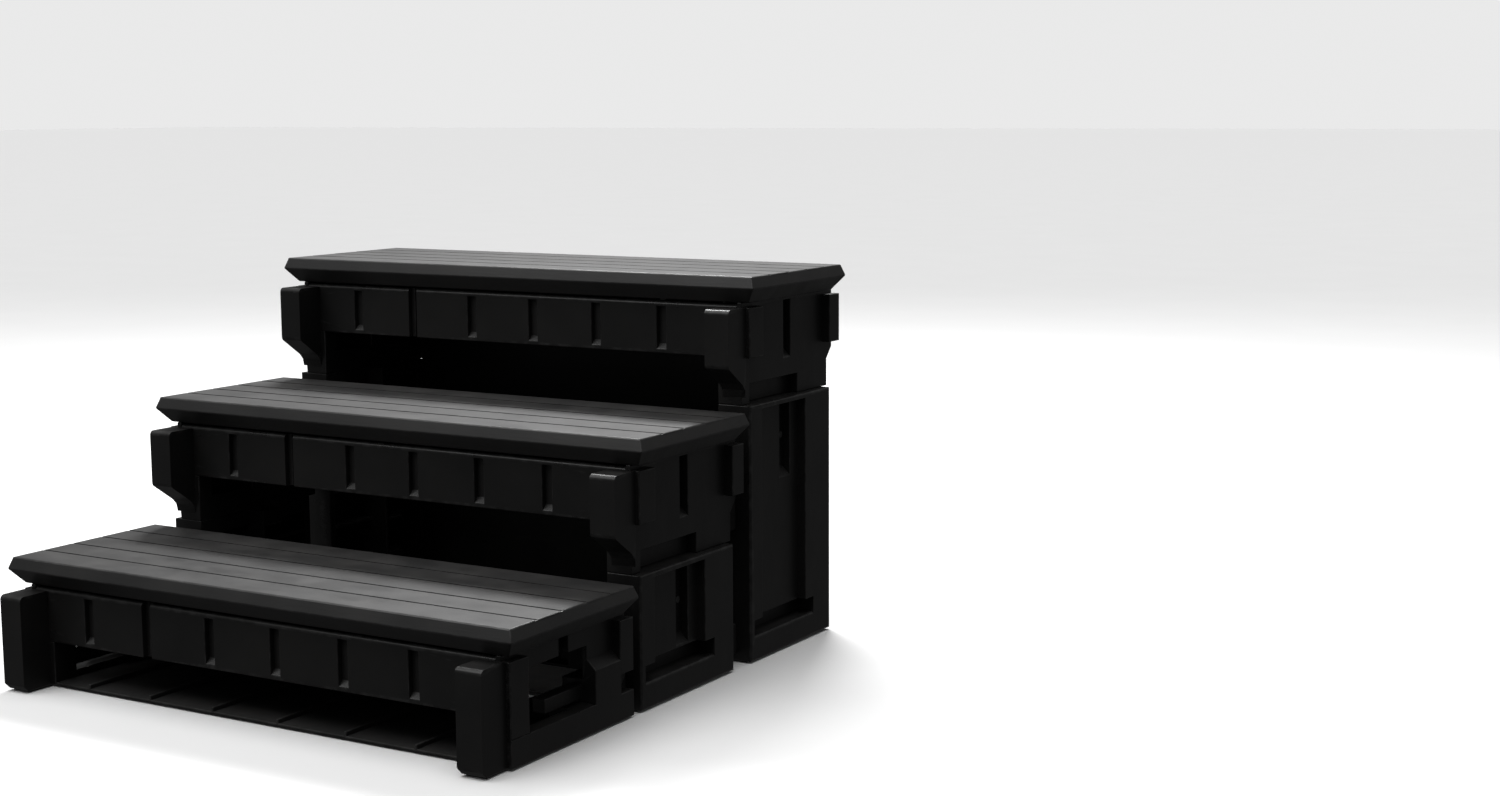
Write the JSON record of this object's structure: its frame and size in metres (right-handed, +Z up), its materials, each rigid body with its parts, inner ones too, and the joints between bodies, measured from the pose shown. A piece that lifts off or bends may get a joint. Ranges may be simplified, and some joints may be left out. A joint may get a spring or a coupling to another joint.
{
  "type": "three-tier spa steps",
  "caption": "Free-standing moulded plastic steps for a hot tub: planked treads, grooved riser boards with open toe spaces, and stacked side frames.",
  "frame": {"origin": "centre of the footprint, on the floor", "axes": "+Z up; the climb goes towards +Y; +X is to the right of someone going up"},
  "size_m": [0.892, 0.922, 0.576],
  "materials": {
    "tread_resin": "satin, fine grain",
    "side_resin": "satin",
    "inner_resin": "matt",
    "foot_rubber": "matt",
    "screw_steel": "brushed"
  },
  "bodies": {
    "root": {"tread_lower": "tread_resin", "tread_middle": "tread_resin", "tread_upper": "tread_resin", "front_board_lower_long": "side_resin", "front_board_lower_short": "side_resin", "rear_board_lower_long": "side_resin", "rear_board_lower_short": "side_resin", "front_board_middle_long": "side_resin", "front_board_middle_short": "side_resin", "rear_board_middle_long": "side_resin", "rear_board_middle_short": "side_resin", "front_board_upper_long": "side_resin", "front_board_upper_short": "side_resin", "rear_board_upper_long": "side_resin", "rear_board_upper_short": "side_resin", "side_frame_lower_left": "side_resin", "side_frame_lower_right": "side_resin", "side_frame_middle_left": "side_resin", "side_frame_middle_right": "side_resin", "side_frame_upper_left": "side_resin", "side_frame_upper_right": "side_resin", "support_middle_left": "side_resin", "support_middle_right": "side_resin", "support_upper_left": "side_resin", "support_upper_right": "side_resin", "base_tray_lower": "inner_resin", "base_tray_middle": "inner_resin", "base_tray_upper": "inner_resin", "back_panel": "side_resin", "tier_link_lower_left": "inner_resin", "tier_link_lower_right": "inner_resin", "tier_link_base_left": "inner_resin", "tier_link_base_right": "inner_resin", "tier_link_upper_left": "inner_resin", "tier_link_upper_right": "inner_resin", "splice_plate_lower_front": "inner_resin", "splice_plate_lower_rear": "inner_resin", "splice_plate_middle_front": "inner_resin", "splice_plate_middle_rear": "inner_resin", "splice_plate_upper_front": "inner_resin", "splice_plate_upper_rear": "inner_resin", "foot_strip_lower_left": "foot_rubber", "foot_strip_lower_right": "foot_rubber", "foot_strip_middle_left": "foot_rubber", "foot_strip_middle_right": "foot_rubber", "foot_strip_upper_left": "foot_rubber", "foot_strip_upper_right": "foot_rubber", "locating_dowels": "inner_resin", "tread_screws": "screw_steel", "rear_board_screws": "screw_steel", "splice_screws": "screw_steel", "panel_screws": "screw_steel"}
  },
  "joints": []
}
